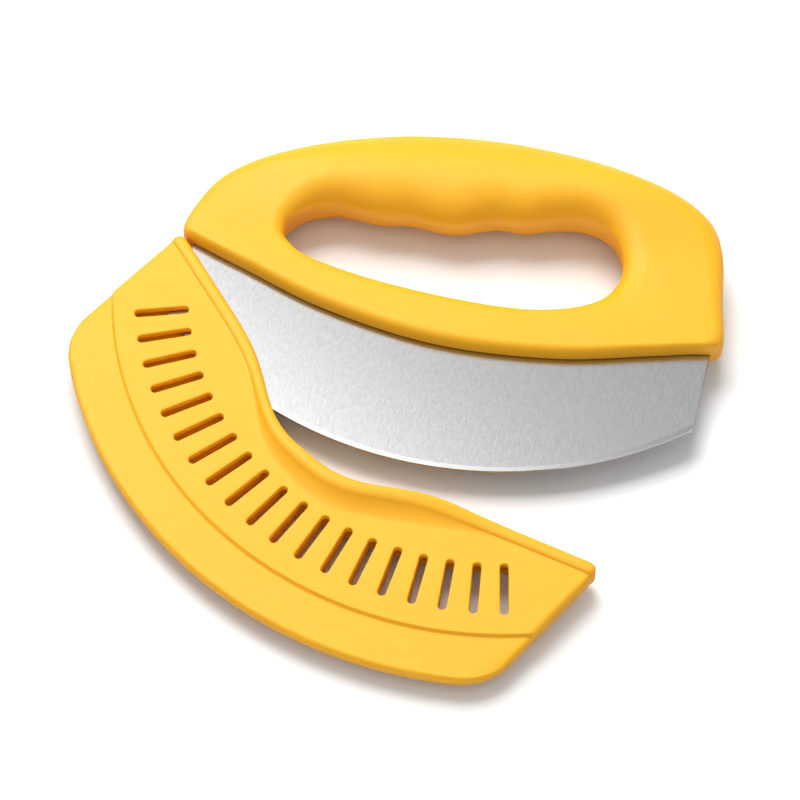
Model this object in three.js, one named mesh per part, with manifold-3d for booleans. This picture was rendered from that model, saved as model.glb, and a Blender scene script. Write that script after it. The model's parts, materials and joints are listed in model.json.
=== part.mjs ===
import * as THREE from "three";
import { mergeVertices } from "three/addons/utils/BufferGeometryUtils.js";
import Module from "manifold-3d";

const wasm = await Module();
wasm.setup();

// A rocking pizza cutter: a hollow two-shell D-handle on a curved blade, and a blade guard of two plates
// that is swung part open. Pieces are drawn in the plane of the blade, in millimetres: X runs along the
// handle, Y points from the cutting edge to the grip, and Z runs across the blade, with 0 at its middle.

// Fits
const partingGap = 0.3; // between the two halves of a moulding
const fitGap = 0.3; // around a piece that sits in another
const runningGap = 0.4; // from the blade to each plate of the guard
const mouthGap = 0.6; // from the closed guard to the handle
const edgeGap = 6.1; // from the cutting edge to the floor of the guard's slot
const endGap = 3.8; // from the ends of the blade to the ends of that slot

// Handle
const handleLength = 190; // between the lower corners
const gripHeight = 65.3; // from the chord of those corners to the top of the grip
const bowBottom = -19.7; // lowest point of the handle's lower edge
const bowRadius = 186; // round middle of that edge
const bowEndAngle = THREE.MathUtils.degToRad(17.4); // slope of its straight ends
const bandHalf = 6.5; // half thickness of the band above the blade
const bandRound = 3.8; // rounding of the band's long edges
const gripHalf = 12; // half thickness of the grip
const gripCrest = 1; // half width of the flat left along the grip's crest
const shellWall = 2.4;
const shellRim = 0.8; // least straight wall beside the parting line
const hollowRound = 1; // least rounding inside the shell

// Blade
const bladeThickness = 1.2;
const bladeInset = 4.7; // from the ends of the handle to the ends of the blade
const bladeTipFlare = 0.6; // how far each tip stands out past the blade's top
const bladeBottom = -65.4; // lowest point of the cutting edge
const bladeRadius = 134.9; // round of the cutting edge
const bevelWidth = 1.9;
const edgeThickness = 0.2;
const tangDepth = 11; // how far the blade reaches into the handle

// Pins
const pinCount = 5;
const pinDiameter = 4;
const pinCover = 2; // plastic over each end of a pin
const pinEndInset = 14.3; // from the ends of the blade to the outermost pins
const pinTopInset = 5; // from the top of the tang down to the pins
const bossWall = 2.2; // around each pin

// Guard
const slotSideWall = 1.5; // closes the slot at each end
const slotFloorWall = 1.6; // from the slot's floor to the step
const stepTightening = 3.3; // how much smaller the step's radius is than the cutting edge's
const guardStepRun = 0.7; // width of the step between the face and the outer band
const guardBandWidth = 16.9; // from the step to the outer edge, in the middle
const guardBandOpening = 18.1; // how much larger the outer edge's radius is than the step's
const guardEndLean = 0.019; // outward lean of the ends
const guardCornerReach = 11; // rounding of the outer corners
const mouthCornerReach = 3.5; // rounding of the corners at the mouth
const guardFaceHalf = 3.5; // half thickness over the slot
const guardBandHalf = 2.4; // half thickness of the outer band
const guardEdgeRound = 1.4;
const beadRise = 0.9;
const beadWidth = 2.9;
const beadRound = 0.8;
const beadFoot = 0.7; // slope below the plain bead
const reliefDepth = 14; // finger relief in the mouth
const reliefCentre = -3.5;
const reliefHalfWidth = 28.5;
const flareRise = 3.4; // extra height of the lip along the relief
const flareWidth = 1.5; // extra width of the lip there
const flareCentre = 2;
const flareHalfWidth = 40;
const coveWidth = 7.2; // hollow below the lip there
const coveTurn = { across: 0.2, up: 0.42 }; // where the hollow turns, in shares of its width and height
const coveTop = 0.72; // where the lip's upright side begins, in shares of its height

// Drain slots
const ventCount = 19;
const ventWidth = 2.8;
const ventLength = 18.4;
const ventEdgeInset = 24.1; // from the guard's outer edge
const ventSpan = THREE.MathUtils.degToRad(84);

// Guard hinge: the left heel of the blade, where the guard turns on the handle
const swingInset = 1.9; // from the left end of the handle
const swingRise = 0.4; // above the handle's lower edge
const swingOpen = THREE.MathUtils.degToRad(28.44); // opening at rest

// Mesh steps
const handleSteps = 2; // stations for each handle section
const roundSteps = 4; // facets of a rounded edge
const hollowSteps = 2; // facets of the same edge inside the shell
const bladeSteps = 34;
const guardSpanSteps = 38;
const guardCornerSteps = 4;
const circleSteps = 16;
const throughCut = 30; // length of a cutter that passes right through
const leanLimit = THREE.MathUtils.degToRad(20); // steepest lean that is tried
const leanTrials = 40;

// Sizes that follow from these
const handleHalf = handleLength / 2;
const bladeTopHalf = handleHalf - bladeInset;
const bladeTipHalf = bladeTopHalf + bladeTipFlare;
const pinLength = 2 * (bandHalf - pinCover - fitGap);
const pinHole = pinDiameter + 2 * fitGap;
const slotHalf = bladeTopHalf + endGap;
const slotFloor = bladeBottom - edgeGap;
const guardEndHalf = slotHalf + slotSideWall;
const guardStepBottom = slotFloor - slotFloorWall;
const guardStepRadius = bladeRadius - stepTightening;
const guardBottom = guardStepBottom - guardBandWidth;
const guardRadius = guardStepRadius + guardBandOpening;
const ventOuterRadius = guardRadius - ventEdgeInset;
const ventInnerRadius = ventOuterRadius - ventLength;
const swingX = swingInset - handleHalf;
const swingY = lowerEdge(swingX) + swingRise;

const yellow = new THREE.MeshStandardMaterial({ color: 0xffc533, roughness: 0.5, metalness: 0 });
const steel = new THREE.MeshStandardMaterial({ color: 0xc9cbcc, roughness: 0.35, metalness: 1 });
const pinSteel = new THREE.MeshStandardMaterial({ color: 0x9a9ea2, roughness: 0.4, metalness: 1 });

// Lower edge of the handle: an arc that runs out into two straight ends.
function lowerEdge(x) {
  const side = Math.abs(x);
  const arcReach = bowRadius * Math.sin(bowEndAngle);
  if (side < arcReach) return bowBottom + arcRise(bowRadius, side);
  return bowBottom + arcRise(bowRadius, arcReach) + (side - arcReach) * Math.tan(bowEndAngle);
}

function arcRise(radius, x) {
  return radius - Math.sqrt(radius ** 2 - x ** 2);
}

function mix(a, b, t) {
  return a + (b - a) * t;
}

// Solids and cuts
function solidOf(geometry) {
  const bare = geometry.clone();
  bare.deleteAttribute("normal");
  bare.deleteAttribute("uv");
  const merged = mergeVertices(bare);
  const vertProperties = new Float32Array(merged.attributes.position.array);
  const triVerts = new Uint32Array(merged.index.array);
  return new wasm.Manifold(new wasm.Mesh({ numProp: 3, vertProperties, triVerts }));
}

function geometryOf(solid) {
  const mesh = solid.getMesh();
  return indexedGeometry(Array.from(mesh.vertProperties), Array.from(mesh.triVerts));
}

function indexedGeometry(positions, index) {
  const geometry = new THREE.BufferGeometry();
  geometry.setAttribute("position", new THREE.Float32BufferAttribute(positions, 3));
  geometry.setIndex(index);
  geometry.computeVertexNormals();
  return geometry;
}

// The same piece on the other side of the blade plane.
function mirrored(geometry) {
  const positions = Array.from(geometry.attributes.position.array, (v, i) => (i % 3 === 2 ? -v : v));
  const index = Array.from(geometry.index.array);
  for (let i = 0; i < index.length; i += 3) [index[i], index[i + 1]] = [index[i + 1], index[i]];
  return indexedGeometry(positions, index);
}

// Skin over a row of sections with equal point counts, closed in a ring or capped at both ends.
function loft(sections, capProfiles) {
  const count = sections[0].length;
  const stations = sections.length;
  const index = [];
  for (let i = 0; i < (capProfiles ? stations - 1 : stations); i++) {
    const a = i * count;
    const b = ((i + 1) % stations) * count;
    for (let j = 0; j < count; j++) {
      const k = (j + 1) % count;
      index.push(a + j, b + j, b + k, a + j, b + k, a + k);
    }
  }
  if (capProfiles) {
    const end = (stations - 1) * count;
    for (const [p, q, r] of THREE.ShapeUtils.triangulateShape(capProfiles[0], [])) index.push(p, q, r);
    for (const [p, q, r] of THREE.ShapeUtils.triangulateShape(capProfiles[1], [])) {
      index.push(end + p, end + r, end + q);
    }
  }
  const positions = sections.flat().flatMap((p) => [p.x, p.y, p.z]);
  if (signedVolume(positions, index) < 0) index.reverse();
  return indexedGeometry(positions, index);
}

function signedVolume(positions, index) {
  const corner = (i) => new THREE.Vector3().fromArray(positions, 3 * index[i]);
  let sum = 0;
  for (let i = 0; i < index.length; i += 3) sum += corner(i).dot(corner(i + 1).cross(corner(i + 2)));
  return sum / 6;
}

function extrusion(shape, bottom, top) {
  const settings = { depth: top - bottom, bevelEnabled: false, curveSegments: circleSteps };
  return new THREE.ExtrudeGeometry(shape, settings).translate(0, 0, bottom);
}

function uprightCylinder(diameter, bottom, top, x, y) {
  const cylinder = new THREE.CylinderGeometry(diameter / 2, diameter / 2, top - bottom, circleSteps);
  return cylinder.rotateX(Math.PI / 2).translate(x, y, (top + bottom) / 2);
}

// Handle: sections across the ring between its outline and the hand opening, from the left heel along
// the lower edge, up the right side, back along the grip and down the left side. Across are shares of half
// the handle's length, up are shares of the grip's height.
// On the lower edge: [outline across, opening across, opening up].
const bandSections = [
  [-0.963, -0.636, 0.129],
  [-0.737, -0.563, 0.055],
  [-0.442, -0.368, -0.002],
  [0, 0, -0.026],
  [0.442, 0.305, 0.009],
  [0.737, 0.463, 0.086],
  [0.874, 0.512, 0.138],
  [0.963, 0.545, 0.193],
];

// Round the rest: [outline across, outline up, opening across, opening up, share of the round grip section].
const gripSections = [
  [0.991, 0.037, 0.562, 0.236, 0.03],
  [0.957, 0.291, 0.581, 0.337, 0.1],
  [0.916, 0.582, 0.569, 0.441, 0.25],
  [0.857, 0.743, 0.531, 0.533, 0.48],
  [0.732, 0.868, 0.469, 0.594, 0.75],
  [0.547, 0.949, 0.379, 0.611, 0.94],
  [0.347, 0.991, 0.284, 0.574, 1],
  [0.211, 1, 0.189, 0.518, 1],
  [0.084, 0.997, 0.095, 0.507, 1],
  [-0.074, 0.977, -0.058, 0.418, 1],
  [-0.242, 0.931, -0.221, 0.417, 1],
  [-0.368, 0.882, -0.321, 0.386, 1],
  [-0.568, 0.766, -0.484, 0.389, 0.9],
  [-0.737, 0.634, -0.568, 0.346, 0.65],
  [-0.846, 0.521, -0.621, 0.276, 0.35],
  [-0.934, 0.383, -0.644, 0.211, 0.15],
  [-0.989, 0.184, -0.645, 0.168, 0.05],
  [-1.003, 0.061, -0.642, 0.147, 0],
  [-0.994, 0.023, -0.639, 0.136, 0],
];

// Closed curves along the outline and the opening. Their third coordinate is the share of the grip section.
function handleCurves() {
  const outline = [];
  const opening = [];
  for (const [outlineX, openingX, openingY] of bandSections) {
    const x = outlineX * handleHalf;
    outline.push(new THREE.Vector3(x, lowerEdge(x), 0));
    opening.push(new THREE.Vector3(openingX * handleHalf, openingY * gripHeight, 0));
  }
  for (const [outlineX, outlineY, openingX, openingY, share] of gripSections) {
    outline.push(new THREE.Vector3(outlineX * handleHalf, outlineY * gripHeight, share));
    opening.push(new THREE.Vector3(openingX * handleHalf, openingY * gripHeight, share));
  }
  return [outline, opening].map((points) => new THREE.CatmullRomCurve3(points, true, "centripetal"));
}

// One half section of the handle, shrunk all round by an inset.
function handleHalfSection(outline, opening, inset, bottom, steps) {
  const share = THREE.MathUtils.clamp(outline.z, 0, 1);
  const from = new THREE.Vector2(outline.x, outline.y);
  const across = new THREE.Vector2(opening.x, opening.y).sub(from);
  const width = across.length() - 2 * inset;
  const half = mix(bandHalf, gripHalf, share) - inset;
  const round = Math.max(bandRound - inset, hollowRound);
  const roundX = mix(round, width / 2 - gripCrest, share);
  const roundZ = mix(round, half - partingGap / 2 - shellRim, share);
  across.normalize();
  from.addScaledVector(across, inset);
  const profile = [[0, bottom]];
  for (let i = 0; i <= steps; i++) {
    const turn = (Math.PI / 2) * (i / steps);
    profile.push([roundX * (1 - Math.cos(turn)), half - roundZ * (1 - Math.sin(turn))]);
  }
  const farSide = profile.map(([s, z]) => [width - s, z]).reverse();
  return [...profile, ...farSide].map(([s, z]) => {
    return new THREE.Vector3(from.x + across.x * s, from.y + across.y * s, z);
  });
}

function handleRing(inset, bottom, steps) {
  const [outlineCurve, openingCurve] = handleCurves();
  const stations = outlineCurve.points.length * handleSteps;
  const sections = [];
  for (let i = 0; i < stations; i++) {
    const t = i / stations;
    const [outline, opening] = [outlineCurve.getPoint(t), openingCurve.getPoint(t)];
    sections.push(handleHalfSection(outline, opening, inset, bottom, steps));
  }
  return solidOf(loft(sections));
}

function pinPlaces() {
  const spread = bladeTopHalf - pinEndInset;
  return Array.from({ length: pinCount }, (_, i) => {
    const x = mix(-spread, spread, i / (pinCount - 1));
    return new THREE.Vector2(x, lowerEdge(x) + tangDepth - pinTopInset);
  });
}

// Outline of the tang with a clearance round it; below the handle it just runs clear.
function tangShape(clearance) {
  const half = bladeTopHalf + clearance;
  const top = [];
  for (let i = 0; i <= bladeSteps; i++) {
    const x = mix(-half, half, i / bladeSteps);
    top.push(new THREE.Vector2(x, lowerEdge(x) + tangDepth + clearance));
  }
  const below = bowBottom - tangDepth;
  const corners = [new THREE.Vector2(-half, below), new THREE.Vector2(half, below)];
  return new THREE.Shape([...corners, ...top.reverse()]);
}

function handleShell() {
  const parting = partingGap / 2;
  const pocketTop = bladeThickness / 2 + fitGap;
  const hollow = handleRing(shellWall, -shellWall, hollowSteps);
  let shell = handleRing(0, parting, roundSteps).subtract(hollow);
  for (const { x, y } of pinPlaces()) {
    const boss = uprightCylinder(pinHole + 2 * bossWall, parting, bandHalf - shellWall / 2, x, y);
    shell = shell.add(solidOf(boss));
  }
  shell = shell.subtract(solidOf(extrusion(tangShape(fitGap), -pocketTop, pocketTop)));
  for (const { x, y } of pinPlaces()) {
    const socketTop = pinLength / 2 + fitGap;
    const socket = uprightCylinder(pinHole, -socketTop, socketTop, x, y);
    shell = shell.subtract(solidOf(socket));
  }
  return geometryOf(shell);
}

// Blade: a row of sections along its length, from the tang down to the ground edge.
function bladeGeometry() {
  const half = bladeThickness / 2;
  const edgeHalf = edgeThickness / 2;
  const sections = [];
  const profiles = [];
  for (let i = 0; i <= bladeSteps; i++) {
    const share = mix(-1, 1, i / bladeSteps);
    const topX = share * bladeTopHalf;
    const tipX = share * bladeTipHalf;
    const edgeY = bladeBottom + arcRise(bladeRadius, tipX);
    const seatY = lowerEdge(topX) - fitGap;
    const front = [
      [topX, lowerEdge(topX) + tangDepth, half],
      [topX, seatY, half],
      [tipX, edgeY + bevelWidth, half],
      [tipX, edgeY, edgeHalf],
    ];
    const back = front.map(([x, y, z]) => [x, y, -z]).reverse();
    const loop = [...front, ...back];
    sections.push(loop.map(([x, y, z]) => new THREE.Vector3(x, y, z)));
    profiles.push(loop.map(([, y, z]) => new THREE.Vector2(y, z)));
  }
  let blade = solidOf(loft(sections, [profiles[0], profiles[bladeSteps]]));
  for (const { x, y } of pinPlaces()) {
    const hole = uprightCylinder(pinHole, -bladeThickness, bladeThickness, x, y);
    blade = blade.subtract(solidOf(hole));
  }
  return geometryOf(blade);
}

// Guard, drawn closed on the blade.
function reliefShare(x) {
  return 2 ** -((Math.abs(x - reliefCentre) / reliefHalfWidth) ** 3);
}

function flareShare(x) {
  return 2 ** -((Math.abs(x - flareCentre) / flareHalfWidth) ** 4);
}

function mouthEdge(x) {
  return lowerEdge(x) - mouthGap - reliefDepth * reliefShare(x);
}

function arcPoint(angle, radius, bottom) {
  return new THREE.Vector2(radius * Math.sin(angle), bottom + radius * (1 - Math.cos(angle)));
}

// A run of points with a rounded corner before and after it.
function withCorners(firstEnd, firstCorner, run, lastCorner, lastEnd) {
  const last = run[run.length - 1];
  const before = new THREE.QuadraticBezierCurve(firstEnd, firstCorner, run[0]);
  const after = new THREE.QuadraticBezierCurve(last, lastCorner, lastEnd);
  return [
    ...before.getPoints(guardCornerSteps).slice(0, -1),
    ...run,
    ...after.getPoints(guardCornerSteps).slice(1),
  ];
}

function endPoint(side, y) {
  return new THREE.Vector2(side * (guardEndHalf - guardEndLean * y), y);
}

function mouthPoints() {
  const cornerY = mouthEdge(guardEndHalf);
  const half = guardEndHalf - mouthCornerReach;
  const run = [];
  for (let i = 0; i <= guardSpanSteps; i++) {
    const x = mix(-half, half, i / guardSpanSteps);
    run.push(new THREE.Vector2(x, mouthEdge(x)));
  }
  const below = cornerY - mouthCornerReach;
  const [leftEnd, rightEnd] = [endPoint(-1, below), endPoint(1, below)];
  return withCorners(leftEnd, endPoint(-1, cornerY), run, endPoint(1, cornerY), rightEnd);
}

function outerPoints() {
  const flatY = guardBottom + arcRise(guardRadius, guardEndHalf);
  const cornerX = endPoint(1, flatY).x;
  const corner = new THREE.Vector2(cornerX, guardBottom + arcRise(guardRadius, cornerX));
  const reach = Math.asin(cornerX / guardRadius) - guardCornerReach / guardRadius;
  const run = [];
  for (let i = 0; i <= guardSpanSteps; i++) {
    run.push(arcPoint(mix(-reach, reach, i / guardSpanSteps), guardRadius, guardBottom));
  }
  const above = corner.y + guardCornerReach;
  const leftCorner = new THREE.Vector2(-corner.x, corner.y);
  return withCorners(endPoint(-1, above), leftCorner, run, corner, endPoint(1, above));
}

// Distance from a point, along a direction, to the step arc.
function toStep(from, direction) {
  const offset = from.clone().sub(new THREE.Vector2(0, guardStepBottom + guardStepRadius));
  const along = offset.dot(direction);
  return -along + Math.sqrt(along ** 2 - offset.lengthSq() + guardStepRadius ** 2);
}

// Section of one plate from the mouth to the outer edge.
function plateProfile(width, stepAt, flare) {
  const lipTop = guardFaceHalf + beadRise + flareRise * flare;
  const lipWidth = beadWidth + flareWidth * flare;
  const cove = beadFoot + coveWidth * flare;
  const parting = partingGap / 2;
  return [
    [0, parting],
    [width, parting],
    [width, guardBandHalf - guardEdgeRound],
    [width - guardEdgeRound * (1 - Math.SQRT1_2), guardBandHalf - guardEdgeRound * (1 - Math.SQRT1_2)],
    [width - guardEdgeRound, guardBandHalf],
    [stepAt + guardStepRun, guardBandHalf],
    [stepAt, guardFaceHalf],
    [lipWidth + cove, guardFaceHalf],
    [lipWidth + cove * coveTurn.across, mix(guardFaceHalf, lipTop, coveTurn.up)],
    [lipWidth, mix(guardFaceHalf, lipTop, coveTop)],
    [lipWidth - beadRound, lipTop],
    [beadRound, lipTop],
    [0, lipTop - beadRound],
  ];
}

function slotShape() {
  const radius = guardStepRadius - slotFloorWall;
  const reach = Math.asin(slotHalf / radius);
  const floor = [];
  for (let i = 0; i <= bladeSteps; i++) {
    floor.push(arcPoint(mix(-reach, reach, i / bladeSteps), radius, slotFloor));
  }
  const above = mouthEdge(guardEndHalf) + guardCornerReach;
  const [left, right] = [new THREE.Vector2(-slotHalf, above), new THREE.Vector2(slotHalf, above)];
  return new THREE.Shape([left, ...floor, right]);
}

function ventCutter(angle) {
  const radius = ventWidth / 2;
  const inner = -ventInnerRadius - radius;
  const outer = -ventOuterRadius + radius;
  const pill = new THREE.Shape();
  pill.absarc(0, inner, radius, 0, Math.PI);
  pill.absarc(0, outer, radius, Math.PI, 2 * Math.PI);
  const settings = { depth: throughCut, bevelEnabled: false, curveSegments: roundSteps };
  const cutter = new THREE.ExtrudeGeometry(pill, settings).translate(0, 0, -throughCut / 2);
  return cutter.rotateZ(angle).translate(0, guardBottom + guardRadius, 0);
}

function guardPlate() {
  const outer = outerPoints();
  const profiles = [];
  const sections = mouthPoints().map((mouth, i) => {
    const across = outer[i].clone().sub(mouth);
    const width = across.length();
    across.normalize();
    const profile = plateProfile(width, toStep(mouth, across), flareShare(mouth.x));
    profiles.push(profile.map(([s, z]) => new THREE.Vector2(s, z)));
    return profile.map(([s, z]) => new THREE.Vector3(mouth.x + across.x * s, mouth.y + across.y * s, z));
  });
  const slotDepth = bladeThickness / 2 + runningGap;
  let plate = solidOf(loft(sections, [profiles[0], profiles[profiles.length - 1]]));
  plate = plate.subtract(solidOf(extrusion(slotShape(), -slotDepth, slotDepth)));
  for (let i = 0; i < ventCount; i++) {
    const angle = mix(-ventSpan, ventSpan, i / (ventCount - 1)) / 2;
    plate = plate.subtract(solidOf(ventCutter(angle)));
  }
  return geometryOf(plate);
}

// Assembly
function piece(name, geometry, material) {
  const mesh = new THREE.Mesh(geometry, material);
  mesh.name = name;
  return mesh;
}

const cutter = new THREE.Group();
const shell = handleShell();
cutter.add(piece("handle_front_shell", shell, yellow));
cutter.add(piece("handle_back_shell", mirrored(shell), yellow));
cutter.add(piece("blade", bladeGeometry(), steel));
pinPlaces().forEach(({ x, y }, i) => {
  const dowel = uprightCylinder(pinDiameter, -pinLength / 2, pinLength / 2, x, y);
  cutter.add(piece(`tang_pin_${i + 1}`, dowel, pinSteel));
});

const guard = new THREE.Group();
const plate = guardPlate().translate(-swingX, -swingY, 0);
guard.add(piece("guard_front_plate", plate, yellow));
guard.add(piece("guard_back_plate", mirrored(plate), yellow));
guard.position.set(swingX, swingY, 0);
guard.rotation.z = -swingOpen;

// The cutter lies on its back: the blade plane leans until grip and guard touch the table together.
function lowestPoint(group, lean) {
  const point = new THREE.Vector3();
  let lowest = Infinity;
  group.updateMatrixWorld(true);
  group.traverse((node) => {
    if (!node.isMesh) return;
    const position = node.geometry.attributes.position;
    for (let i = 0; i < position.count; i++) {
      point.fromBufferAttribute(position, i).applyMatrix4(node.matrixWorld);
      lowest = Math.min(lowest, point.y * Math.sin(lean) + point.z * Math.cos(lean));
    }
  });
  return lowest;
}

function settledLean() {
  let low = 0;
  let high = leanLimit;
  for (let i = 0; i < leanTrials; i++) {
    const lean = (low + high) / 2;
    if (lowestPoint(cutter, lean) < lowestPoint(guard, lean)) low = lean;
    else high = lean;
  }
  return (low + high) / 2;
}

const lying = new THREE.Group();
lying.rotation.x = settledLean();
lying.add(cutter, guard);
const pizzaCutter = new THREE.Group();
pizzaCutter.add(lying);
pizzaCutter.updateMatrixWorld(true);
const box = new THREE.Box3().setFromObject(pizzaCutter, true);
const middle = box.getCenter(new THREE.Vector3());
lying.position.set(-middle.x, -middle.y, -box.min.z);
pizzaCutter.updateMatrixWorld(true);

export default pizzaCutter;
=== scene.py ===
import json
import math

import bmesh
import bpy
from mathutils import Matrix, Vector, kdtree


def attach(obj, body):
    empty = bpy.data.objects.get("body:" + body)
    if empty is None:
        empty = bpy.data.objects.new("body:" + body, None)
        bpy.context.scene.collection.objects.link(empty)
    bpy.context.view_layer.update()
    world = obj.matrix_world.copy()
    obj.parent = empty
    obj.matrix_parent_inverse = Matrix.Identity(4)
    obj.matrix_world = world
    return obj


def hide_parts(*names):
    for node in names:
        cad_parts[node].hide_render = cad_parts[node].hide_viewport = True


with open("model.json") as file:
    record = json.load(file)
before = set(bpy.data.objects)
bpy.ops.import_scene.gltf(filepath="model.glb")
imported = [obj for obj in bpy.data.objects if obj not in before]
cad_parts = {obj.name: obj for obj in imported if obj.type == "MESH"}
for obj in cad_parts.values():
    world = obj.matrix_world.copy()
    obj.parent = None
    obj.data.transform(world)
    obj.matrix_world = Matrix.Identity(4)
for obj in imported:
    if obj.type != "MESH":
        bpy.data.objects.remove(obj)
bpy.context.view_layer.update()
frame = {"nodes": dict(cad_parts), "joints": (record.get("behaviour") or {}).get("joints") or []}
print("frame loaded:", ", ".join(sorted(frame["nodes"])))

# The cutter is drawn in millimetres in the plane of its blade and then laid down as the frame lies:
# X along the handle, Y from the cutting edge to the grip, Z across the blade.
mm = 0.001
weldReach = 1e-5  # points of a piece closer than this are one
swing = {"x": -93.1, "y": 0.956, "open": 28.44}  # where the guard turns, and how far it is open at rest

hinge = frame["joints"][0]
hingeSpot = Vector(hinge["pos_m"])
hingeAxis = Vector(hinge["axis"])
lean = math.atan2(hingeAxis.y, -hingeAxis.z)  # of the blade's plane on the table
layDown = Matrix.Translation(hingeSpot) @ Matrix.Rotation(lean, 4, "X")
toHinge = Matrix.Scale(mm, 4) @ Matrix.Translation((-swing["x"], -swing["y"], 0))
cutterPlace = layDown @ toHinge
guardPlace = layDown @ Matrix.Rotation(-math.radians(swing["open"]), 4, "Z") @ toHinge


def mix(a, b, t):
    return a + (b - a) * t


def arcRise(radius, x):
    return radius - math.sqrt(radius * radius - x * x)


def quarterTurn(steps):
    return [math.pi / 2 * i / steps for i in range(steps + 1)]


def roundOver(across, up, top, steps):
    return [(across * (1 - math.cos(t)), top - up * (1 - math.sin(t))) for t in quarterTurn(steps)]


# shared mesh work
def bridgeChains(bm, sections, isRing):
    chains = []
    for section in sections:
        verts = [bm.verts.new(point) for point in section]
        chains.append([bm.edges.new(pair) for pair in zip(verts, verts[1:])])
    for i in range(len(chains) if isRing else len(chains) - 1):
        bmesh.ops.bridge_loops(bm, edges=chains[i] + chains[(i + 1) % len(chains)])
    return chains


def openEdges(bm):
    return [edge for edge in bm.edges if len(edge.link_faces) == 1]


def makePiece(name, bm, place, material, sharpAngle=35):
    bmesh.ops.remove_doubles(bm, verts=bm.verts[:], dist=weldReach)
    bmesh.ops.recalc_face_normals(bm, faces=bm.faces[:])
    bmesh.ops.transform(bm, matrix=place, verts=bm.verts[:])
    mesh = bpy.data.meshes.new(name)
    bm.to_mesh(mesh)
    bm.free()
    piece = bpy.data.objects.new(name, mesh)
    bpy.context.scene.collection.objects.link(piece)
    if material:
        mesh.materials.append(material)
    shadeSmooth(piece, sharpAngle)
    return piece


def shadeSmooth(piece, sharpAngle):
    for polygon in piece.data.polygons:
        polygon.use_smooth = True
    piece.data.set_sharp_from_angle(angle=math.radians(sharpAngle))


def applyModifiers(piece):
    bpy.context.view_layer.update()
    evaluated = piece.evaluated_get(bpy.context.evaluated_depsgraph_get())
    finished = bpy.data.meshes.new_from_object(evaluated)
    piece.modifiers.clear()
    piece.data = finished


def cutAway(piece, cutters):
    for cutter in cutters:
        cut = piece.modifiers.new("cut", "BOOLEAN")
        cut.object = cutter
        cut.operation = "DIFFERENCE"
        cut.solver = "EXACT"
    applyModifiers(piece)
    for cutter in cutters:
        bpy.data.objects.remove(cutter)


def raisedCutter(name, outline, height, place):
    bm = bmesh.new()
    base = bm.faces.new([bm.verts.new(spot) for spot in outline])
    raised = bmesh.ops.extrude_face_region(bm, geom=[base])["geom"]
    lifted = [item for item in raised if isinstance(item, bmesh.types.BMVert)]
    bmesh.ops.translate(bm, vec=(0, 0, height), verts=lifted)
    return makePiece(name, bm, place, None)


def weighNormals(piece):
    weigh = piece.modifiers.new("weigh", "WEIGHTED_NORMAL")
    weigh.keep_sharp = True
    weigh.weight = 100


# node helpers
def newMaterial(name):
    material = bpy.data.materials.new(name)
    material.use_nodes = True
    tree = material.node_tree
    return material, tree, tree.nodes["Principled BSDF"]


def addNode(tree, kind, **inputs):
    node = tree.nodes.new(kind)
    for key, value in inputs.items():
        node.inputs[key.replace("_", " ")].default_value = value
    return node


def addRange(tree, source, target=(0.0, 1.0)):
    ends = {"From_Min": source[0], "From_Max": source[1], "To_Min": target[0], "To_Max": target[1]}
    return addNode(tree, "ShaderNodeMapRange", **ends)


skinLook = {
    "flow": {"Scale": 26.0, "Detail": 3.0, "Roughness": 0.55},  # slow change between the two colours
    "grain": {"Detail": 2.0, "Roughness": 0.6},
    "rub": {"Scale": 240.0, "Detail": 4.0, "Roughness": 0.65},  # patches that handling has polished
    "rubRange": (0.3, 0.7),
    "roughRange": (0.36, 0.46),
}


def mouldedSkin():
    group = bpy.data.node_groups.new("mouldedSkin", "ShaderNodeTree")
    face = group.interface
    face.new_socket("Lit Colour", in_out="INPUT", socket_type="NodeSocketColor")
    face.new_socket("Deep Colour", in_out="INPUT", socket_type="NodeSocketColor")
    face.new_socket("Grain Scale", in_out="INPUT", socket_type="NodeSocketFloat")
    face.new_socket("Colour", in_out="OUTPUT", socket_type="NodeSocketColor")
    face.new_socket("Roughness", in_out="OUTPUT", socket_type="NodeSocketFloat")
    face.new_socket("Height", in_out="OUTPUT", socket_type="NodeSocketFloat")
    source = group.nodes.new("NodeGroupInput")
    sink = group.nodes.new("NodeGroupOutput")
    spot = group.nodes.new("ShaderNodeTexCoord")
    link = group.links.new
    flow = addNode(group, "ShaderNodeTexNoise", **skinLook["flow"])
    grain = addNode(group, "ShaderNodeTexNoise", **skinLook["grain"])
    rub = addNode(group, "ShaderNodeTexNoise", **skinLook["rub"])
    for texture in (flow, grain, rub):
        link(spot.outputs["Object"], texture.inputs["Vector"])
    link(source.outputs["Grain Scale"], grain.inputs["Scale"])
    blend = group.nodes.new("ShaderNodeMix")
    blend.data_type = "RGBA"
    link(flow.outputs["Fac"], blend.inputs["Factor"])
    link(source.outputs["Deep Colour"], blend.inputs["A"])
    link(source.outputs["Lit Colour"], blend.inputs["B"])
    link(blend.outputs["Result"], sink.inputs["Colour"])
    dull = addRange(group, skinLook["rubRange"], skinLook["roughRange"])
    link(rub.outputs["Fac"], dull.inputs["Value"])
    link(dull.outputs["Result"], sink.inputs["Roughness"])
    link(grain.outputs["Fac"], sink.inputs["Height"])
    return group


grainLook = {
    # turn in degrees, scale along each axis, detail
    "layers": ((-9, (4200, 950, 1600), 2.5), (6, (2150, 450, 800), 2.0)),
    "layerRoughness": 0.6,
    "sumRange": (0.6, 1.4),
    "roughRange": (0.232, 0.228),
}


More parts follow.
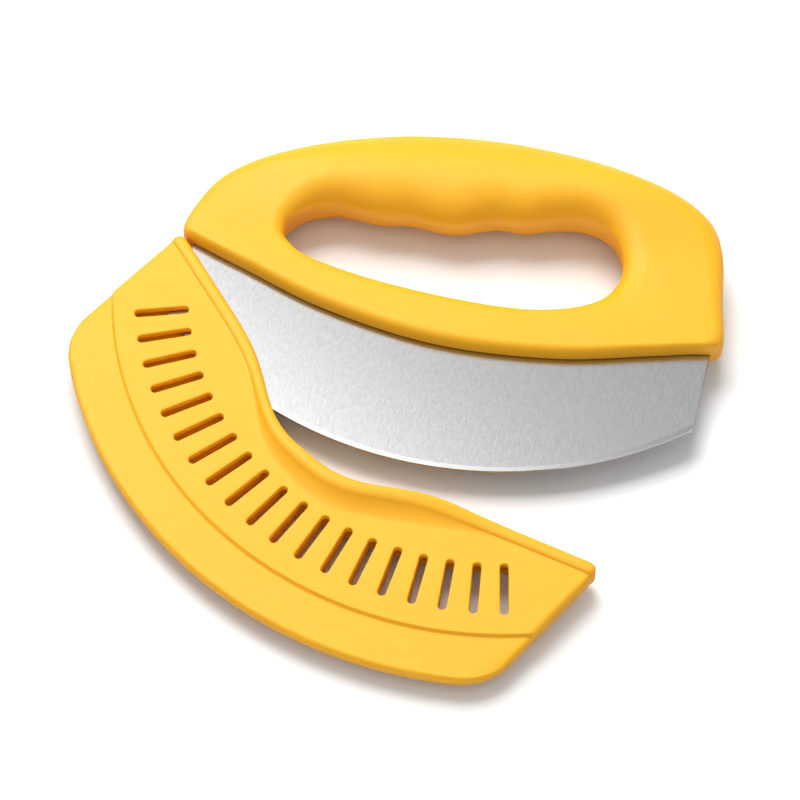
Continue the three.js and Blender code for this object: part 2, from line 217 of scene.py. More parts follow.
def brushedGrain():
    group = bpy.data.node_groups.new("brushedGrain", "ShaderNodeTree")
    face = group.interface
    face.new_socket("Dark Colour", in_out="INPUT", socket_type="NodeSocketColor")
    face.new_socket("Bright Colour", in_out="INPUT", socket_type="NodeSocketColor")
    face.new_socket("Colour", in_out="OUTPUT", socket_type="NodeSocketColor")
    face.new_socket("Roughness", in_out="OUTPUT", socket_type="NodeSocketFloat")
    face.new_socket("Height", in_out="OUTPUT", socket_type="NodeSocketFloat")
    source = group.nodes.new("NodeGroupInput")
    sink = group.nodes.new("NodeGroupOutput")
    spot = group.nodes.new("ShaderNodeTexCoord")
    link = group.links.new
    streaks = []
    for turn, scale, detail in grainLook["layers"]:
        place = group.nodes.new("ShaderNodeMapping")
        place.inputs["Rotation"].default_value = (0, 0, math.radians(turn))
        place.inputs["Scale"].default_value = scale
        rough = grainLook["layerRoughness"]
        streak = addNode(group, "ShaderNodeTexNoise", Scale=1.0, Detail=detail, Roughness=rough)
        link(spot.outputs["Object"], place.inputs["Vector"])
        link(place.outputs["Vector"], streak.inputs["Vector"])
        streaks.append(streak)
    both = group.nodes.new("ShaderNodeMath")
    both.operation = "ADD"
    for socket, streak in zip(both.inputs, streaks):
        link(streak.outputs["Fac"], socket)
    spread = addRange(group, grainLook["sumRange"])
    link(both.outputs["Value"], spread.inputs["Value"])
    blend = group.nodes.new("ShaderNodeMix")
    blend.data_type = "RGBA"
    link(spread.outputs["Result"], blend.inputs["Factor"])
    link(source.outputs["Dark Colour"], blend.inputs["A"])
    link(source.outputs["Bright Colour"], blend.inputs["B"])
    link(blend.outputs["Result"], sink.inputs["Colour"])
    dull = addRange(group, (0.0, 1.0), grainLook["roughRange"])
    link(spread.outputs["Result"], dull.inputs["Value"])
    link(dull.outputs["Result"], sink.inputs["Roughness"])
    link(spread.outputs["Result"], sink.inputs["Height"])
    return group


def useGroup(tree, shader, group, inputs, bumpDepth):
    node = tree.nodes.new("ShaderNodeGroup")
    node.node_tree = group
    for key, value in inputs.items():
        node.inputs[key].default_value = value
    bump = tree.nodes.new("ShaderNodeBump")
    bump.inputs["Strength"].default_value = 1.0
    bump.inputs["Distance"].default_value = bumpDepth
    tree.links.new(node.outputs["Colour"], shader.inputs["Base Color"])
    tree.links.new(node.outputs["Roughness"], shader.inputs["Roughness"])
    tree.links.new(node.outputs["Height"], bump.inputs["Height"])
    tree.links.new(bump.outputs["Normal"], shader.inputs["Normal"])


yellow = {
    "lit": (1.0, 0.502, 0.014, 1),
    "deep": (1.0, 0.478, 0.011, 1),
    "grainScale": 2600.0,
    "grainDepth": 0.00002,
    "edge": (0.98, 0.36, 0.004, 1),  # painted shade: a deeper orange put where the surface turns away from the view
    "paintedShadeShare": 0.5,
    "paintedShadeTurn": (0.25, 0.95),  # from how far to how far away it has turned
    "shine": 0.5,
    "edgeRough": 0.75,
    "roughTurn": (0.45, 0.9),
    "scatterWeight": 0.2,
    "scatterReach": (1.0, 0.4, 0.1),
    "scatterScale": 0.0015,
}


def yellowPlastic(name, skin):
    material, tree, shader = newMaterial(name)
    inputs = {
        "Lit Colour": yellow["lit"],
        "Deep Colour": yellow["deep"],
        "Grain Scale": yellow["grainScale"],
    }
    useGroup(tree, shader, skin, inputs, yellow["grainDepth"])
    shader.inputs["Specular IOR Level"].default_value = yellow["shine"]
    shader.inputs["Subsurface Weight"].default_value = yellow["scatterWeight"]
    shader.inputs["Subsurface Radius"].default_value = yellow["scatterReach"]
    shader.inputs["Subsurface Scale"].default_value = yellow["scatterScale"]
    skinColour = shader.inputs["Base Color"].links[0].from_socket
    # painted shade: the colour is pulled towards the deeper orange where the surface turns away from the
    # view
    facing = addNode(tree, "ShaderNodeLayerWeight", Blend=0.5)
    turned = addRange(tree, yellow["paintedShadeTurn"], (0.0, yellow["paintedShadeShare"]))
    blend = tree.nodes.new("ShaderNodeMix")
    blend.data_type = "RGBA"
    blend.inputs["B"].default_value = yellow["edge"]
    tree.links.new(facing.outputs["Facing"], turned.inputs["Value"])
    tree.links.new(turned.outputs["Result"], blend.inputs["Factor"])
    tree.links.new(skinColour, blend.inputs["A"])
    tree.links.new(blend.outputs["Result"], shader.inputs["Base Color"])
    skinRough = shader.inputs["Roughness"].links[0].from_socket
    grazing = addRange(tree, yellow["roughTurn"])
    dull = tree.nodes.new("ShaderNodeMix")
    dull.inputs["B"].default_value = yellow["edgeRough"]
    tree.links.new(facing.outputs["Facing"], grazing.inputs["Value"])
    tree.links.new(grazing.outputs["Result"], dull.inputs["Factor"])
    tree.links.new(skinRough, dull.inputs["A"])
    tree.links.new(dull.outputs["Result"], shader.inputs["Roughness"])
    return material


steels = {
    "bladeSteel": {"dark": (0.445, 0.45, 0.45, 1), "bright": (0.59, 0.595, 0.595, 1), "grainDepth": 1e-7},
    "pinSteel": {"dark": (0.45, 0.46, 0.48, 1), "bright": (0.58, 0.59, 0.61, 1), "grainDepth": 2e-6},
}


def steel(name, grain):
    look = steels[name]
    material, tree, shader = newMaterial(name)
    inputs = {"Dark Colour": look["dark"], "Bright Colour": look["bright"]}
    useGroup(tree, shader, grain, inputs, look["grainDepth"])
    shader.inputs["Metallic"].default_value = 1.0
    return material


skinGroup = mouldedSkin()
grainGroup = brushedGrain()
handleMaterial = yellowPlastic("handleYellow", skinGroup)
guardMaterial = yellowPlastic("guardYellow", skinGroup)
bladeMaterial = steel("bladeSteel", grainGroup)
pinMaterial = steel("pinSteel", grainGroup)
print("materials made")

# handle: sections across the ring between the outline and the hand opening
handle = {
    "half": 94.8,  # half the length between the lower corners
    "height": 65.26,  # top of the grip above the chord of those corners
    "bowBottom": -19.7,  # lowest point of the lower edge
    "bowRadius": 186.0,
    "bowEnd": 17.4,  # slope of the lower edge's straight ends, in degrees
    "bandHalf": 6.5,
    "bandRound": 3.8,
    "gripHalf": 11.99,
    "gripCrest": 1.0,
    "rim": 0.95,  # least upright wall beside the parting line
    "parting": 0.02,
    "tuck": 1.1,  # how far the lower edge tucks under above the blade
    "tuckTop": 2.6,
    "tuckNear": 0.5,  # how near a point of the outline is to the lower edge to count as on it
    "tuckSteps": 5,
    "tuckEnds": (87.0, 91.0),  # it fades out between these distances from the middle
    "rimRound": (9.0, 5.2),  # the softer rim at the right end of the opening, across and up
    "rimStart": 44.0,  # it grows between these distances to the right
    "rimFull": 54.0,
    "wall": 2.4,
    "stations": 7,  # for each section
    "roundSteps": 12,
    "sharpAngle": 40,
    # on the lower edge: outline across, opening across, opening up
    "band": [
        (-0.963, -0.636, 0.129), (-0.737, -0.563, 0.055), (-0.442, -0.368, -0.002), (0, 0, -0.026),
        (0.442, 0.305, 0.009), (0.737, 0.463, 0.086), (0.874, 0.512, 0.138), (0.963, 0.545, 0.193),
    ],
    # round the rest: outline across, outline up, opening across, opening up, share of the round grip
    "grip": [
        (0.991, 0.037, 0.562, 0.236, 0.03), (0.957, 0.291, 0.581, 0.337, 0.1),
        (0.916, 0.582, 0.569, 0.441, 0.25), (0.857, 0.743, 0.531, 0.533, 0.48),
        (0.732, 0.868, 0.469, 0.594, 0.75), (0.547, 0.949, 0.379, 0.611, 0.94),
        (0.347, 0.991, 0.284, 0.574, 1), (0.211, 1, 0.189, 0.518, 1),
        (0.084, 0.997, 0.095, 0.507, 1), (-0.074, 0.977, -0.058, 0.418, 1),
        (-0.242, 0.931, -0.221, 0.417, 1), (-0.368, 0.882, -0.321, 0.386, 1),
        (-0.568, 0.766, -0.484, 0.389, 0.9), (-0.737, 0.634, -0.568, 0.346, 0.65),
        (-0.846, 0.521, -0.621, 0.276, 0.35), (-0.934, 0.383, -0.644, 0.211, 0.15),
        (-0.989, 0.184, -0.645, 0.168, 0.05), (-1.003, 0.061, -0.642, 0.147, 0),
        (-0.994, 0.023, -0.639, 0.136, 0),
    ],
}


def lowerEdge(x):
    side = abs(x)
    slope = math.radians(handle["bowEnd"])
    reach = handle["bowRadius"] * math.sin(slope)
    rise = arcRise(handle["bowRadius"], min(side, reach))
    return handle["bowBottom"] + rise + max(side - reach, 0) * math.tan(slope)


def ringPoint(points, place):
    count = len(points)
    first = int(place) % count
    p0, p1, p2, p3 = (points[(first + i) % count] for i in (-1, 0, 1, 2))
    gaps = [math.sqrt((b - a).length) for a, b in ((p0, p1), (p1, p2), (p2, p3))]
    t = place - int(place)
    leave = ((p1 - p0) / gaps[0] - (p2 - p0) / (gaps[0] + gaps[1]) + (p2 - p1) / gaps[1]) * gaps[1]
    arrive = ((p2 - p1) / gaps[1] - (p3 - p1) / (gaps[1] + gaps[2]) + (p3 - p2) / gaps[2]) * gaps[1]
    bend = 2 * p1 - 2 * p2 + leave + arrive
    turn = -3 * p1 + 3 * p2 - 2 * leave - arrive
    return p1 + leave * t + turn * t * t + bend * t * t * t


def handleRing():
    half, height = handle["half"], handle["height"]
    outline = [Vector((x * half, lowerEdge(x * half), 0)) for x, _, _ in handle["band"]]
    opening = [Vector((x * half, y * height, 0)) for _, x, y in handle["band"]]
    outline += [Vector((x * half, y * height, share)) for x, y, _, _, share in handle["grip"]]
    opening += [Vector((x * half, y * height, share)) for _, _, x, y, share in handle["grip"]]
    count = len(outline) * handle["stations"]
    places = [i / handle["stations"] for i in range(count)]
    return [(ringPoint(outline, place), ringPoint(opening, place)) for place in places]


def tuckShare(spot):
    first, last = handle["tuckEnds"]
    isLower = spot.y < lowerEdge(spot.x) + handle["tuckNear"]
    return min(max((last - abs(spot.x)) / (last - first), 0), 1) if isLower else 0


def rimShare(spot):
    rising = min(max((spot.x - handle["rimStart"]) / (handle["rimFull"] - handle["rimStart"]), 0), 1)
    return rising * rising * (3 - 2 * rising)


def handleChain(outer, inner):
    share = min(max(outer.z, 0), 1)
    start = outer.xy
    across = inner.xy - start
    width = across.length
    across.normalize()
    half = mix(handle["bandHalf"], handle["gripHalf"], share)
    roundX = mix(handle["bandRound"], width / 2 - handle["gripCrest"], share)
    roundZ = mix(handle["bandRound"], half - handle["rim"], share)
    rise = roundOver(roundX, roundZ, half, handle["roundSteps"])
    rimX = mix(roundX, max(roundX, handle["rimRound"][0]), rimShare(inner))
    rimZ = mix(roundZ, max(roundZ, handle["rimRound"][1]), rimShare(inner))
    far = [(width - s, z) for s, z in roundOver(rimX, rimZ, half, handle["roundSteps"])]
    far = far[::-1] + [(width, handle["parting"])]
    tuck = handle["tuck"] * tuckShare(start)
    top = min(handle["tuckTop"], rise[0][1])
    bottom = min(blade["half"], top)
    under = [(tuck, handle["parting"])]
    turns = quarterTurn(handle["tuckSteps"])[:-1]
    under += [(tuck * (1 - math.sin(t)), top - (top - bottom) * math.cos(t)) for t in turns]
    return [(*(start + across * s), z) for s, z in under + rise + [(width / 2, half)] + far]


def bladePocket():
    gap, half = blade["seatGap"], blade["half"] + blade["seatGap"]
    reach = blade["topHalf"] + gap
    xs = [mix(-reach, reach, i / blade["pocketSteps"]) for i in range(blade["pocketSteps"] + 1)]
    outline = [(x, lowerEdge(x) + blade["tang"] + gap, -half) for x in xs]
    below = handle["bowBottom"] - blade["tang"]
    outline += [(reach, below, -half), (-reach, below, -half)]
    return raisedCutter("bladePocket", outline, 2 * half, cutterPlace)


def makeHandleShell(name, node, isBack):
    bm = bmesh.new()
    bridgeChains(bm, [handleChain(outer, inner) for outer, inner in handleRing()], True)
    if isBack:
        bmesh.ops.scale(bm, vec=(1, 1, -1), verts=bm.verts[:])
    piece = makePiece(name, bm, cutterPlace, handleMaterial)
    wall = piece.modifiers.new("wall", "SOLIDIFY")
    wall.thickness = handle["wall"] * mm
    wall.offset = -1
    cutAway(piece, [bladePocket()])
    shadeSmooth(piece, handle["sharpAngle"])
    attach(piece, "cutter")
    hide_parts(node)


# blade: sections from the tang down to the ground edge
blade = {
    "half": 0.6,  # half thickness
    "topHalf": 90.3,
    "tipHalf": 90.9,
    "bottom": -65.4,
    "radius": 134.9,
    "bevel": 1.9,
    "honed": 0.25,  # the finer bevel at the very edge
    "honedHalf": 0.52,
    "edgeHalf": 0.06,
    "ground": (0.45, 0.45, 0.45, 1),  # colour of the bevel
    "tintBlur": 0.0001,  # of that colour's upper end, in metres
    "tang": 11.0,
    "seatGap": 0.3,
    "steps": 120,
    "sharpAngle": 1.5,
    "pins": 5,
    "pinSpread": 76.0,
    "pinRise": 6.0,
    "pinHole": 4.6,
    "holeReach": 4.0,
    "holeSides": 32,
    "pocketSteps": 60,  # of the pocket for the tang in the handle
    "weld": 0.0001,
}


def tintBevel(material):
    tree = material.node_tree
    shader = tree.nodes["Principled BSDF"]
    faceColour = shader.inputs["Base Color"].links[0].from_socket
    spot = tree.nodes.new("ShaderNodeTexCoord")
    reach = tree.nodes.new("ShaderNodeVectorMath")
    reach.operation = "DISTANCE"
    reach.inputs[1].default_value = cutterPlace @ Vector((0, blade["bottom"] + blade["radius"], 0))
    bevelTop = (blade["radius"] - blade["bevel"]) * mm
    ground = addRange(tree, (bevelTop - blade["tintBlur"], bevelTop + blade["tintBlur"]))
    blend = tree.nodes.new("ShaderNodeMix")
    blend.data_type = "RGBA"
    blend.inputs["B"].default_value = blade["ground"]
    tree.links.new(spot.outputs["Object"], reach.inputs[0])
    tree.links.new(reach.outputs["Value"], ground.inputs["Value"])
    tree.links.new(ground.outputs["Result"], blend.inputs["Factor"])
    tree.links.new(faceColour, blend.inputs["A"])
    tree.links.new(blend.outputs["Result"], shader.inputs["Base Color"])


def makeBlade():
    tintBevel(bladeMaterial)
    half = blade["half"]
    sections = []
    for i in range(blade["steps"] + 1):
        share = mix(-1, 1, i / blade["steps"])
        top, tip = share * blade["topHalf"], share * blade["tipHalf"]
        edge = blade["bottom"] + arcRise(blade["radius"], tip)
        front = [
            (top, lowerEdge(top) + blade["tang"], half),
            (top, lowerEdge(top) - blade["seatGap"], half),
            (tip, edge + blade["bevel"], half),
            (tip, edge + blade["honed"], blade["honedHalf"]),
            (tip, edge, blade["edgeHalf"]),
        ]
        back = [(x, y, -z) for x, y, z in reversed(front)]
        sections.append(front + back + front[:1])
    bm = bmesh.new()
    bridgeChains(bm, sections, False)
    bmesh.ops.remove_doubles(bm, verts=bm.verts[:], dist=blade["weld"])
    bmesh.ops.holes_fill(bm, edges=openEdges(bm), sides=0)
    piece = makePiece("bladeBody", bm, cutterPlace, bladeMaterial, blade["sharpAngle"])
    holes = bmesh.new()
    for i in range(blade["pins"]):
        x = mix(-1, 1, i / (blade["pins"] - 1)) * blade["pinSpread"]
        spot = Matrix.Translation((x, lowerEdge(x) + blade["pinRise"], 0))
        radius = blade["pinHole"] / 2
        bmesh.ops.create_cone(
            holes, cap_ends=True, segments=blade["holeSides"], radius1=radius, radius2=radius,
            depth=blade["holeReach"], matrix=spot,
        )
    cutAway(piece, [makePiece("pinHoles", holes, cutterPlace, None)])
    shadeSmooth(piece, blade["sharpAngle"])
    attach(piece, "cutter")
    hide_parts("blade")


makeHandleShell("handleFront", "handle_front_shell", False)
makeHandleShell("handleBack", "handle_back_shell", True)
print("handle made")

makeBlade()
for name, node in frame["nodes"].items():
    if name.startswith("tang_pin"):
        node.data.materials.clear()
        node.data.materials.append(pinMaterial)
print("blade and pins made")

# guard: a plate on each side of the blade, drawn closed
guard = {
    "endHalf": 95.55,
    "endLean": 0.019,
    "bottom": -90.0,
    "radius": 149.7,
    "stepBottom": -73.1,
    "stepRadius": 131.6,
    "stepRun": 1.6,
    "outerCorner": 11.0,
    "mouthCorner": 4.4,
    "mouthGap": 0.6,
    "face": 3.5,
    "band": 2.4,
    "edgeRound": 1.9,
    "parting": 0.02,
    "beadRise": 1.15,
    "beadCrest": 2.2,  # from the mouth's edge to the end of the bead's crest
    "beadEnd": 4.8,  # and to the end of its round
    "beadTurn": 78.0,  # how far that round turns down, in degrees
    "beadFoot": 1.0,
    "footRise": 0.1,
    "reliefDepth": 14.0,
    "reliefCentre": -2.5,
    "reliefHalf": 28.5,
    "reliefPower": 3,
    "flareRise": 3.1,  # extra height of the lip along the finger relief
    "flareCentre": 11.0,
    "flareHalf": 35.5,
    "flarePower": 4,
    "flareCrest": -0.2,
    "flareEnd": 0.8,
    "lipSkew": 1.2,  # how much wider the lip gets towards the right
    "flareTurn": -18.0,
    "rampRise": 2.8,  # of the hollow ramp under the bead there
    "rampRun": 5.2,
    "rampSkew": 0.4,  # how much wider it gets there
    "rampFall": 1.5,
    "filletShare": 0.06,  # of the ramp's height that the fillet under the bead takes up
    "filletFall": 7.0,
    "slotHalf": 94.1,
    "slotFloor": -71.5,
    "slotFloorRadius": 130.0,
    "slotDepth": 1.0,
    "spanSteps": 130,
    "cornerSteps": 12,
    "roundSteps": 8,
    "rampSteps": 14,
    "rampCrowd": 1.5,  # crowds the ramp's points towards the bead
    "faceSplits": (0.33, 0.66, 0.94),  # where the flat face and the outer band are divided
    "bandSplits": (0.06, 0.5),
    "outlineStep": 0.08,  # between the points that the rounded edge is measured from
    "sharpAngle": 40,
    "stepSteps": 8,
    "leastStep": 0.02,  # between points that a rounded corner pushes together
}
# the mark of the mould's inlet
gate = {"place": (39.0, -75.0), "radius": 4.0, "depth": 0.16, "sides": 32, "rings": 20}
vents = {
    "count": 19,
    "width": 2.8,
    "inner": 107.2,
    "outer": 125.6,
    "span": 84.0,
    "rimRound": 0.5,
    "roundSteps": 4,
    "endSteps": 26,
    "reach": 4.0,  # of the cutter past both faces
}


def reliefShare(x):
    return 2 ** -((abs(x - guard["reliefCentre"]) / guard["reliefHalf"]) ** guard["reliefPower"])


def flareShare(x):
    return 2 ** -((abs(x - guard["flareCentre"]) / guard["flareHalf"]) ** guard["flarePower"])


def mouthEdge(x):
    return lowerEdge(x) - guard["mouthGap"] - guard["reliefDepth"] * reliefShare(x)


def cornerPoints(start, corner, end):
    steps = [i / guard["cornerSteps"] for i in range(guard["cornerSteps"] + 1)]
    return [start * (1 - t) ** 2 + corner * 2 * t * (1 - t) + end * t * t for t in steps]


def endPoint(side, y):
    return Vector((side * (guard["endHalf"] - guard["endLean"] * y), y))


def withCorners(run, corner, reachY):
    left, right = Vector((-corner.x, corner.y)), corner
    before = cornerPoints(endPoint(-1, corner.y + reachY), left, run[0])
    after = cornerPoints(run[-1], right, endPoint(1, corner.y + reachY))
    return before[:-1] + run + after[1:]


def spanShares():
    return [mix(-1, 1, i / guard["spanSteps"]) for i in range(guard["spanSteps"] + 1)]


def mouthPoints():
    half = guard["endHalf"] - guard["mouthCorner"]
    run = [Vector((share * half, mouthEdge(share * half))) for share in spanShares()]
    corner = endPoint(1, mouthEdge(guard["endHalf"]))
    return withCorners(run, corner, -guard["mouthCorner"])


def outerPoints():
    radius, bottom = guard["radius"], guard["bottom"]
    cornerX = endPoint(1, bottom + arcRise(radius, guard["endHalf"])).x
    reach = math.asin(cornerX / radius) - guard["outerCorner"] / radius
    run = [
        Vector((radius * math.sin(share * reach), bottom + radius * (1 - math.cos(share * reach))))
        for share in spanShares()
    ]
    return withCorners(run, Vector((cornerX, bottom + arcRise(radius, cornerX))), guard["outerCorner"])


def toStep(start, across):
    offset = start - Vector((0, guard["stepBottom"] + guard["stepRadius"]))
    along = offset.dot(across)
    return -along + math.sqrt(along * along - offset.length_squared + guard["stepRadius"] ** 2)


def outlineTree(mouth, outer):
    outline = mouth + outer[::-1]
    spots = []
    for a, b in zip(outline, outline[1:] + outline[:1]):
        pieces = max(1, int((b - a).length / guard["outlineStep"]))
        spots += [a.lerp(b, i / pieces) for i in range(pieces)]
    tree = kdtree.KDTree(len(spots))
    for i, spot in enumerate(spots):
        tree.insert((*spot, 0), i)
    tree.balance()
    return tree


def rampDrop(u):
    return mix((1 - u) ** guard["rampFall"], (1 - u) ** guard["filletFall"], guard["filletShare"])


def plateProfile(width, stepAt, x):
    flare = flareShare(x)
    face, band = guard["face"], guard["band"]
    edge, run = guard["edgeRound"], guard["stepRun"]
    rise = guard["beadRise"] + guard["flareRise"] * flare
    crest = guard["beadCrest"] + guard["flareCrest"] * flare
    aside = (x - guard["flareCentre"]) / guard["flareHalf"]
    lipEnd = guard["beadEnd"] + (guard["flareEnd"] + guard["lipSkew"] * aside) * flare
    foot = lipEnd + guard["beadFoot"] + guard["rampRun"] * flare * (1 + guard["rampSkew"] * aside)
    ramp = guard["footRise"] + guard["rampRise"] * flare
    turns = quarterTurn(guard["roundSteps"])
    profile = [(edge * (1 - math.cos(t)), face + rise) for t in turns]
    lastTurn = math.radians(guard["beadTurn"] + guard["flareTurn"] * flare)
    for i in range(guard["roundSteps"] + 1):
        t = lastTurn * i / guard["roundSteps"]
        drop = (1 - math.cos(t)) / (1 - math.cos(lastTurn))
        along = math.sin(t) / math.sin(lastTurn)
        profile.append((mix(crest, lipEnd, along), face + rise - (rise - ramp) * drop))
    for i in range(1, guard["rampSteps"] + 1):
        u = (i / guard["rampSteps"]) ** guard["rampCrowd"]
        profile.append((mix(lipEnd, foot, u), face + ramp * rampDrop(u)))
    profile += [(mix(foot, stepAt, u), face) for u in guard["faceSplits"]]
    for i in range(guard["stepSteps"] + 1):
        u = i / guard["stepSteps"]
        profile.append((stepAt + run * u, mix(face, band, u * u * (3 - 2 * u))))
    profile += [(mix(stepAt + run, width - edge, u), band) for u in guard["bandSplits"]]
    profile += [(width - edge + edge * math.sin(t), band) for t in turns]
    return profile


def heightAt(profile, s):
    for (s0, z0), (s1, z1) in zip(profile, profile[1:]):
        if s0 <= s < s1:
            return mix(z0, z1, (s - s0) / (s1 - s0))
    return profile[-1][1]


def edgeDrop(distance):
    edge = guard["edgeRound"]
    inside = max(edge - distance, 0)
    return edge - math.sqrt(max(edge * edge - inside * inside, 0))


def plateChains():
    mouth, outer = mouthPoints(), outerPoints()
    tree = outlineTree(mouth, outer)
    chains = []
    for start, end in zip(mouth, outer):
        across = end - start
        width = across.length
        across.normalize()
        cutBack = max(mouthEdge(start.x) - start.y, 0)  # of the rounded corner from the line of the mouth
        profile = plateProfile(width + cutBack, toStep(start, across) + cutBack, start.x)
        chain = []
        for i, (s, _) in enumerate(profile):
            along = max(s - cutBack, i * guard["leastStep"])
            spot = start + across * along
            height = heightAt(profile, along + cutBack)
            chain.append((*spot, height - edgeDrop(tree.find((*spot, 0))[2])))
        chains.append([(*start, guard["parting"])] + chain + [(*end, guard["parting"])])
    return chains


def slotCutter():
    radius, floor, depth = guard["slotFloorRadius"], guard["slotFloor"], guard["slotDepth"]
    reach = math.asin(guard["slotHalf"] / radius)
    turns = [share * reach for share in spanShares()]
    outline = [(radius * math.sin(turn), floor + radius * (1 - math.cos(turn)), -depth) for turn in turns]
    above = mouthEdge(guard["endHalf"]) + guard["outerCorner"]
    outline += [(guard["slotHalf"], above, -depth), (-guard["slotHalf"], above, -depth)]
    return raisedCutter("slotCutter", outline, 2 * depth, Matrix.Identity(4))


def ventCutter():
    bm = bmesh.new()
    radius, rim, face = vents["width"] / 2, vents["rimRound"], guard["face"]
    levels = [(radius, -vents["reach"])]
    levels += [(radius + s, z) for s, z in roundOver(rim, rim, face, vents["roundSteps"])]
    levels += [(radius + rim, face + vents["reach"])]
    for i in range(vents["count"]):
        angle = math.radians(vents["span"]) * (i / (vents["count"] - 1) - 0.5)
        centre = Matrix.Translation((0, guard["bottom"] + guard["radius"], 0))
        place = centre @ Matrix.Rotation(angle, 4, "Z")
        rings = []
        for size, height in levels:
            ring = bmesh.ops.create_circle(bm, segments=vents["endSteps"], radius=size)["verts"]
            far = [vert for vert in ring if vert.co.y > 0]
            bmesh.ops.translate(bm, vec=(0, vents["outer"] - vents["inner"] - 2 * radius, 0), verts=far)
            bmesh.ops.translate(bm, vec=(0, radius - vents["outer"], height), verts=ring)
            bmesh.ops.transform(bm, matrix=place, verts=ring)
            rings.append(list({edge for vert in ring for edge in vert.link_edges}))
        for low, high in zip(rings, rings[1:]):
            bmesh.ops.bridge_loops(bm, edges=low + high)
        bmesh.ops.holes_fill(bm, edges=rings[0] + rings[-1], sides=0)
    return makePiece("ventCutter", bm, Matrix.Identity(4), None)


def gateCutter():
    bm = bmesh.new()
    spot = Matrix.Translation((*gate["place"], guard["band"] + gate["radius"] - gate["depth"]))
    sides, rings = gate["sides"], gate["rings"]
    bmesh.ops.create_uvsphere(bm, u_segments=sides, v_segments=rings, radius=gate["radius"], matrix=spot)
    return makePiece("gateCutter", bm, Matrix.Identity(4), None)


def makePlate(name, node, isBack):
    bm = bmesh.new()
    chains = bridgeChains(bm, plateChains(), False)
    for chain in (chains[0], chains[-1]):
        bmesh.ops.contextual_create(bm, geom=chain)
    bmesh.ops.holes_fill(bm, edges=openEdges(bm), sides=0)
    piece = makePiece(name, bm, Matrix.Identity(4), guardMaterial)
    cutAway(piece, [slotCutter(), ventCutter()] + ([] if isBack else [gateCutter()]))
    piece.data.transform(guardPlace @ Matrix.Scale(-1 if isBack else 1, 4, (0, 0, 1)))
    if isBack:
        piece.data.flip_normals()
    shadeSmooth(piece, guard["sharpAngle"])
    weighNormals(piece)
    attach(piece, "guard")
    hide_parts(node)


makePlate("guardFront", "guard_front_plate", False)
makePlate("guardBack", "guard_back_plate", True)
print("guard made")

# stage: a pale floor, soft light and the photograph's camera
stage = {
    "floorSize": 6.0,
    "floorSeen": (0.97, 0.97, 0.97, 1),
    "floorThrown": (0.66, 0.66, 0.66, 1),  # for the light that it throws back
    "floorGlow": 0.03,
    "floorRough": 0.9,
    "floorDrop": 0.00005,  # below the part's lowest point
    "skyAim": (-0.12, 0.35, 0.93),  # towards the brightest part of the sky
    "skyStrength": 0.62,
    "skyDark": -0.75,  # how far round from there it gets dark
    "skyFall": 1.1,
    # name, place, width, depth, power, whether it shows in reflections rather than as plain light
    "lamps": [
        ("topLamp", (-0.46, 0.9, 1.28), 1.1, 1.0, 29.0, False),
        ("sheenLamp", (-0.81, 0.35, 1.4), 1.2, 1.6, 14.6, True),
        ("frontLamp", (0.1, -1.5, 0.4), 1.2, 0.5, 4.9, False),
    ],
}


def makeFloor():
    bm = bmesh.new()
    bmesh.ops.create_grid(bm, x_segments=1, y_segments=1, size=stage["floorSize"] / 2)
    material, tree, shader = newMaterial("paleFloor")
    shader.inputs["Roughness"].default_value = stage["floorRough"]
    shader.inputs["Specular IOR Level"].default_value = 0.0
    path = tree.nodes.new("ShaderNodeLightPath")
    seen = [path.outputs[name] for name in ("Is Camera Ray", "Is Glossy Ray", "Is Transmission Ray")]
    total = seen[0]
    for ray in seen[1:]:
        either = tree.nodes.new("ShaderNodeMath")
        either.operation = "MAXIMUM"
        tree.links.new(total, either.inputs[0])
        tree.links.new(ray, either.inputs[1])
        total = either.outputs["Value"]
    tone = tree.nodes.new("ShaderNodeMix")
    tone.data_type = "RGBA"
    tone.inputs["A"].default_value = stage["floorThrown"]
    tone.inputs["B"].default_value = stage["floorSeen"]
    tree.links.new(total, tone.inputs["Factor"])
    tree.links.new(tone.outputs["Result"], shader.inputs["Base Color"])
    glow = tree.nodes.new("ShaderNodeMath")
    glow.operation = "MULTIPLY"
    glow.inputs[1].default_value = stage["floorGlow"]
    tree.links.new(total, glow.inputs[0])
    shader.inputs["Emission Color"].default_value = (1, 1, 1, 1)
    tree.links.new(glow.outputs["Value"], shader.inputs["Emission Strength"])
    floor = makePiece("floor", bm, Matrix.Translation((0, 0, -stage["floorDrop"])), material)


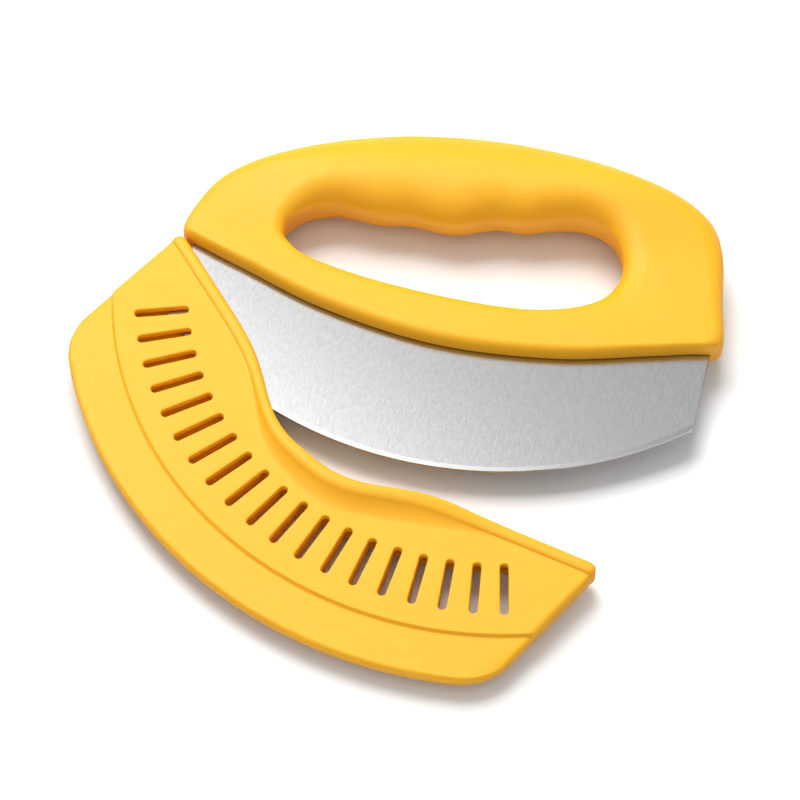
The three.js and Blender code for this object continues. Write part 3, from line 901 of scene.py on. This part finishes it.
def makeLights():
    scene = bpy.context.scene
    scene.view_settings.view_transform = "Standard"
    world = bpy.data.worlds.new("studio")
    scene.world = world
    world.use_nodes = True
    tree = world.node_tree
    sky = tree.nodes["Background"]
    sky.inputs["Color"].default_value = (1, 1, 1, 1)
    aim = tree.nodes.new("ShaderNodeTexCoord")
    facing = tree.nodes.new("ShaderNodeVectorMath")
    facing.operation = "DOT_PRODUCT"
    facing.inputs[1].default_value = stage["skyAim"]
    above = addRange(tree, (stage["skyDark"], 1.0))
    fall = tree.nodes.new("ShaderNodeMath")
    fall.operation = "POWER"
    fall.inputs[1].default_value = stage["skyFall"]
    level = tree.nodes.new("ShaderNodeMath")
    level.operation = "MULTIPLY"
    level.inputs[1].default_value = stage["skyStrength"]
    tree.links.new(aim.outputs["Generated"], facing.inputs[0])
    tree.links.new(facing.outputs["Value"], above.inputs["Value"])
    tree.links.new(above.outputs["Result"], fall.inputs[0])
    tree.links.new(fall.outputs["Value"], level.inputs[0])
    tree.links.new(level.outputs["Value"], sky.inputs["Strength"])
    for name, place, width, depth, power, isMirrored in stage["lamps"]:
        data = bpy.data.lights.new(name, "AREA")
        data.shape = "RECTANGLE"
        data.size, data.size_y = width, depth
        data.energy = power
        lamp = bpy.data.objects.new(name, data)
        scene.collection.objects.link(lamp)
        lamp.location = place
        lamp.visible_glossy = isMirrored
        lamp.visible_diffuse = not isMirrored
        lamp.rotation_euler = (-Vector(place)).to_track_quat("-Z", "Y").to_euler()


makeFloor()
makeLights()
print("floor and light made")

camera = {
    "azimuth": 14.192,
    "elevation": 59.96,
    "distance": 1204.9,
    "target": (-6.635, -42.607, 0.0),
    "lens": 161.75,
    "sensor": 36.0,
    "reach": 20.0,  # in metres
}


def placeCamera():
    turn, tilt = math.radians(camera["azimuth"]), math.radians(camera["elevation"])
    back = Vector((math.sin(turn) * math.cos(tilt), -math.cos(turn) * math.cos(tilt), math.sin(tilt)))
    right = Vector((math.cos(turn), math.sin(turn), 0))
    up = back.cross(right)
    spot = Vector(camera["target"]) + back * camera["distance"]
    laid = layDown.to_3x3()
    axes = Matrix((laid @ right, laid @ up, laid @ back)).transposed().to_4x4()
    data = bpy.data.cameras.new("photoCamera")
    data.sensor_width = camera["sensor"]
    data.lens = camera["lens"]
    data.clip_end = camera["reach"]
    piece = bpy.data.objects.new("photoCamera", data)
    bpy.context.scene.collection.objects.link(piece)
    piece.matrix_world = Matrix.Translation(cutterPlace @ spot) @ axes
    bpy.context.scene.camera = piece


placeCamera()
print("camera placed")
